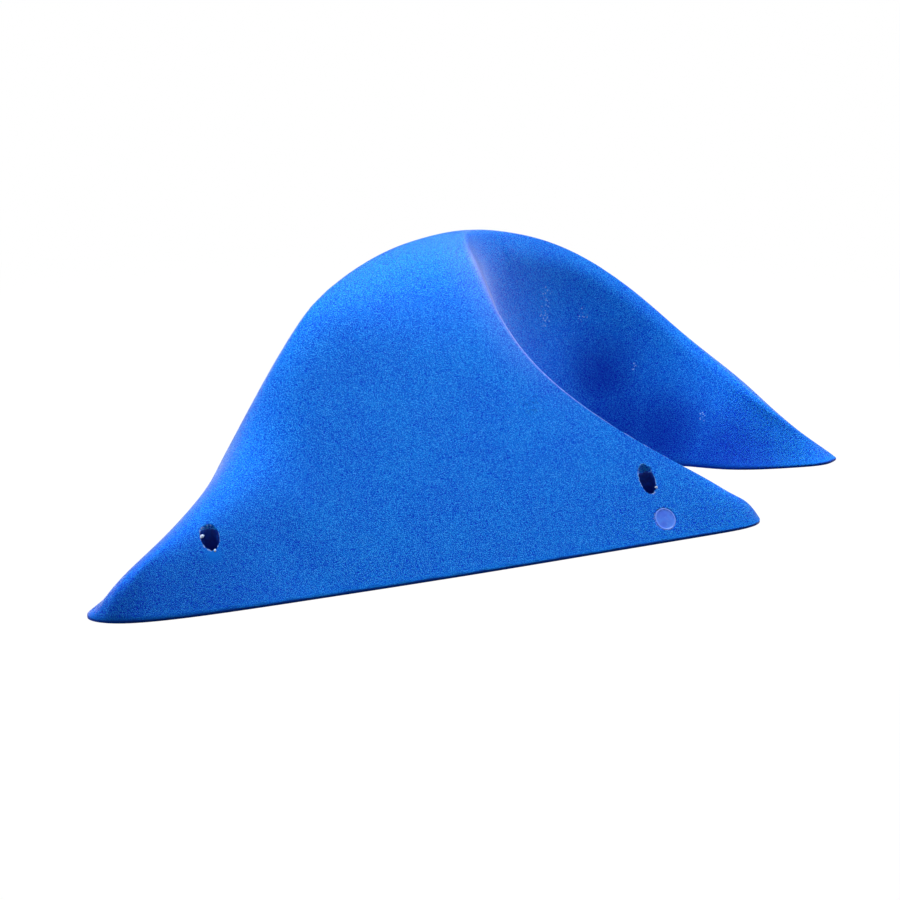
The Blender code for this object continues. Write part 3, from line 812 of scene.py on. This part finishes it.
chipSettings = {
    "chips": {                      # place and size in mm, and turn about the vertical in degrees
        "tailChipLeft": ((-178.4, -90.2, 31.2), (3.6, 1.8, 1.2), 15),
        "tailChipFront": ((-174.3, -96.5, 25.6), (1.8, 1.2, 0.9), 60),
        "nearHornTooth": ((70.6, -98.6, 24.4), (1.6, 1.4, 1.0), -30),
    },
    "lean": (20, -15),              # degrees about x and y
    "sides": 7,
    "taper": (0.45, 0.5, 1),        # the shape is drawn one unit wide, then scaled to each size
    "overhang": 0.1,
    "jitter": 0.12,
    "edge": 0.06,
    "seed": 5,
    "dull": "#8FBDEB",
    "white": "#EEF4FC",
    "fibre": 0.5 * mm,
    "fibreDepth": 0.1 * mm,
    "roughness": (0.45, 0.65),
    "smoothAngle": 40,
}


def chipMaterial():
    s = chipSettings
    made = newMaterial("stressWhitenedPolyurethane")
    tree = made.node_tree
    place = addNode(tree, "TexCoord", output="Object")
    fibre = addNode(tree, "TexNoise", {"Vector": place, "Scale": 1 / s["fibre"], "Detail": 2})
    share = addNode(tree, "MapRange", {"Value": fibre, "From Min": 0.3, "From Max": 0.7}, **easing)
    colour = addNode(tree, "Mix", {0: share, 6: s["dull"], 7: s["white"]}, **inColour)
    glossy, dull = s["roughness"]
    rough = addNode(tree, "MapRange", {"Value": fibre, "From Min": 0.3, "From Max": 0.7,
                                       "To Min": glossy, "To Max": dull}, **easing)
    bump = addNode(tree, "Bump", {"Height": fibre, "Distance": s["fibreDepth"], "Strength": 0.7})
    finishShader(tree, {"Base Color": colour, "Roughness": rough, "Normal": bump})
    return made


def makeChip(name, place, size, turn, seed):
    s = chipSettings
    bpy.ops.object.select_all(action="DESELECT")
    bpy.ops.mesh.primitive_circle_add(vertices=s["sides"], radius=0.5, fill_type="NGON",
                                      enter_editmode=True)
    chip = bpy.context.object
    chip.name = name
    bpy.ops.mesh.select_mode(type="FACE")
    bpy.ops.mesh.select_all(action="SELECT")
    pushOut(0, 0, 0.5)
    pushOut(s["overhang"], 0, 0.5)
    bpy.ops.transform.resize(value=s["taper"])
    turnOutwards()
    bpy.ops.transform.vertex_random(offset=s["jitter"], uniform=1, normal=0, seed=seed)
    closeMesh()
    applyModifier(chip, "BEVEL", width=s["edge"], segments=2)
    chip.scale = inMillimetres(*size)
    chip.rotation_euler = [math.radians(angle) for angle in (*s["lean"], turn)]
    chip.location = inMillimetres(*place)
    bpy.ops.object.transform_apply(location=True, rotation=True, scale=True)
    bpy.ops.object.shade_smooth_by_angle(angle=math.radians(s["smoothAngle"]))
    return chip


# Washers in the seats: the CAD pieces, in pressed steel with a thin zinc coat, dulled in patches

zincPlatedSteel = {
    "bright": "#C3C6C9",
    "dull": "#8E9296",
    "patch": 2.5 * mm,
    "scratch": 0.6 * mm,
    "scratchStretch": 9,
    "scratchDepth": 0.01 * mm,
    "scratchRoughness": 0.12,
    "roughness": (0.3, 0.5),        # where the zinc is bright and where it is dull
}


def washerMaterial():
    s = zincPlatedSteel
    made = newMaterial("zincPlatedSteel")
    tree = made.node_tree
    place = addNode(tree, "TexCoord", output="Object")
    patches = addNode(tree, "TexNoise", {"Vector": place, "Scale": 1 / s["patch"], "Detail": 3})
    stretched = addNode(tree, "Mapping", {"Vector": place, "Scale": (1, s["scratchStretch"], 1)})
    scratches = addNode(tree, "TexNoise", {"Vector": stretched, "Scale": 1 / s["scratch"], "Detail": 1})
    share = addNode(tree, "MapRange", {"Value": patches, "From Min": 0.35, "From Max": 0.65}, **easing)
    colour = addNode(tree, "Mix", {0: share, 6: s["dull"], 7: s["bright"]}, **inColour)
    bright, dull = s["roughness"]
    rough = addNode(tree, "MapRange", {"Value": patches, "From Min": 0.3, "From Max": 0.7,
                                       "To Min": dull, "To Max": bright}, **easing)
    rougher = addNode(tree, "MapRange", {"Value": scratches, "From Min": 0.55, "From Max": 0.7,
                                         "To Max": s["scratchRoughness"]}, **easing)
    rough = addNode(tree, "Math", {0: rough, 1: rougher}, operation="ADD")
    bump = addNode(tree, "Bump", {"Height": scratches, "Distance": s["scratchDepth"], "Strength": 0.5})
    finishShader(tree, {"Base Color": colour, "Roughness": rough, "Normal": bump, "Metallic": 1.0})
    return made


# Making the pieces

casting = makeCasting()
casting.name = "holdCasting"
finishPiece(casting, "casting", "hold_body")
print("casting:", len(casting.data.polygons), "faces")

whitened = chipMaterial()
for order, (name, (place, size, turn)) in enumerate(chipSettings["chips"].items()):
    chip = makeChip(name, place, size, turn, order + chipSettings["seed"])
    giveMaterials(chip, whitened)
    finishPiece(chip, "casting")
print("chips:", len(chipSettings["chips"]))

badge = makeBadge()
giveMaterials(badge, badgeMaterial())
finishPiece(badge, "badge", "badge_disc")
print("badge:", len(badge.data.polygons), "faces")

zinc = washerMaterial()
for nodeName in screwAxes:
    giveMaterials(frame["nodes"][nodeName], zinc)
print("washers:", len(screwAxes))


# Studio: white ground and world to the camera, soft light for the hold

studioSettings = {
    "white": "#FFFFFF",
    "worldStrength": 0.04,          # of the light that the world gives the hold
    "floorSize": 6,
    "floorDrop": 0.05 * mm,
    "seenPaint": "#F3F3F3",         # what the camera and reflections see
    "unseenPaint": "#383838",       # what the light bounces off
    "shadowShare": 0.12,            # of the floor's look that is paint, and so takes the shadow
    "shadowReach": 0.7,
    "lampAim": (0, 0, 0.05),
    "lamps": {                      # place in metres, size in metres, watts
        "highRight": ((0.6, 0.1, 1.45), 1.2, 38),
        "lowLeft": ((-0.99, 0.54, 1.13), 1.2, 22),
        "highFront": ((-0.3, -0.55, 1.45), 1.2, 4),
    },
}

cameraSettings = {
    "azimuth": 28.42,               # degrees, turned from straight ahead to the right
    "elevation": 15,
    "distance": 1.62,
    "target": inMillimetres(-22.4, -50.0, 44.8),
    "lens": 128,
    "sensor": 36,
}


def makeWorld():
    s = studioSettings
    world = bpy.data.worlds.new("whiteStudio")
    bpy.context.scene.world = world
    world.use_nodes = True
    tree = world.node_tree
    tree.nodes.clear()
    rays = ("Is Camera Ray", "Is Glossy Ray", "Is Transmission Ray")
    seen = anyOf(tree, *[addNode(tree, "LightPath", output=ray) for ray in rays])
    strength = addNode(tree, "MapRange", {"Value": seen, "To Min": s["worldStrength"], "To Max": 1.0})
    background = addNode(tree, "Background", {"Color": s["white"], "Strength": strength})
    addNode(tree, "OutputWorld", {"Surface": background})


def floorMaterial():                # white to the camera, keeps the shadow, clear when seen from below
    s = studioSettings
    made = newMaterial("paleStudioFloor")
    tree = made.node_tree
    place = addNode(tree, "TexCoord", output="Object")
    camera = addNode(tree, "LightPath", output="Is Camera Ray")
    glossy = addNode(tree, "LightPath", output="Is Glossy Ray")
    seen = anyOf(tree, camera, glossy)
    shade = near(tree, place, (0, 0, 0), s["shadowReach"], s["shadowShare"])
    glowing = addNode(tree, "Math", {0: 1.0, 1: shade}, operation="SUBTRACT")
    paint = addNode(tree, "Mix", {0: seen, 6: s["unseenPaint"], 7: s["seenPaint"]}, **inColour)
    paint = addNode(tree, "BsdfDiffuse", {"Color": paint})
    glow = addNode(tree, "Emission", {"Color": s["white"], "Strength": 1.0})
    top = addNode(tree, "MixShader", {0: allOf(tree, seen, glowing), 1: paint, 2: glow})
    below = allOf(tree, addNode(tree, "NewGeometry", output="Backfacing"), camera)
    clear = addNode(tree, "BsdfTransparent")
    surface = addNode(tree, "MixShader", {0: below, 1: top, 2: clear})
    addNode(tree, "OutputMaterial", {"Surface": surface})
    return made


def makeFloor():
    s = studioSettings
    bpy.ops.object.select_all(action="DESELECT")
    bpy.ops.mesh.primitive_plane_add(size=s["floorSize"], location=(0, 0, -s["floorDrop"]))
    floor = bpy.context.object
    floor.name = "studioFloor"
    giveMaterials(floor, floorMaterial())


def makeLamp(name, place, size, power):
    bpy.ops.object.light_add(type="AREA", location=place)
    lamp = bpy.context.object
    lamp.name = name
    lamp.data.shape = "DISK"
    lamp.data.size = size
    lamp.data.energy = power
    faceAlong(lamp, Vector(place) - Vector(studioSettings["lampAim"]))      # a lamp shines along its -z


def makeCamera():
    s = cameraSettings
    azimuth = math.radians(s["azimuth"])
    elevation = math.radians(s["elevation"])
    ahead = Vector((math.sin(azimuth) * math.cos(elevation), math.cos(azimuth) * math.cos(elevation),
                    -math.sin(elevation)))
    camera = bpy.data.objects.new("camera", bpy.data.cameras.new("camera"))
    bpy.context.scene.collection.objects.link(camera)
    camera.data.lens = s["lens"]
    camera.data.sensor_width = s["sensor"]
    camera.location = Vector(s["target"]) - ahead * s["distance"]
    camera.rotation_mode = "QUATERNION"
    camera.rotation_quaternion = ahead.to_track_quat("-Z", "Y")
    bpy.context.scene.camera = camera


makeWorld()
makeFloor()
for lampName, (place, size, power) in studioSettings["lamps"].items():
    makeLamp(lampName, place, size, power)
makeCamera()
bpy.context.scene.view_settings.view_transform = "Standard"
print("studio: floor, world, camera and", len(studioSettings["lamps"]), "lamps")
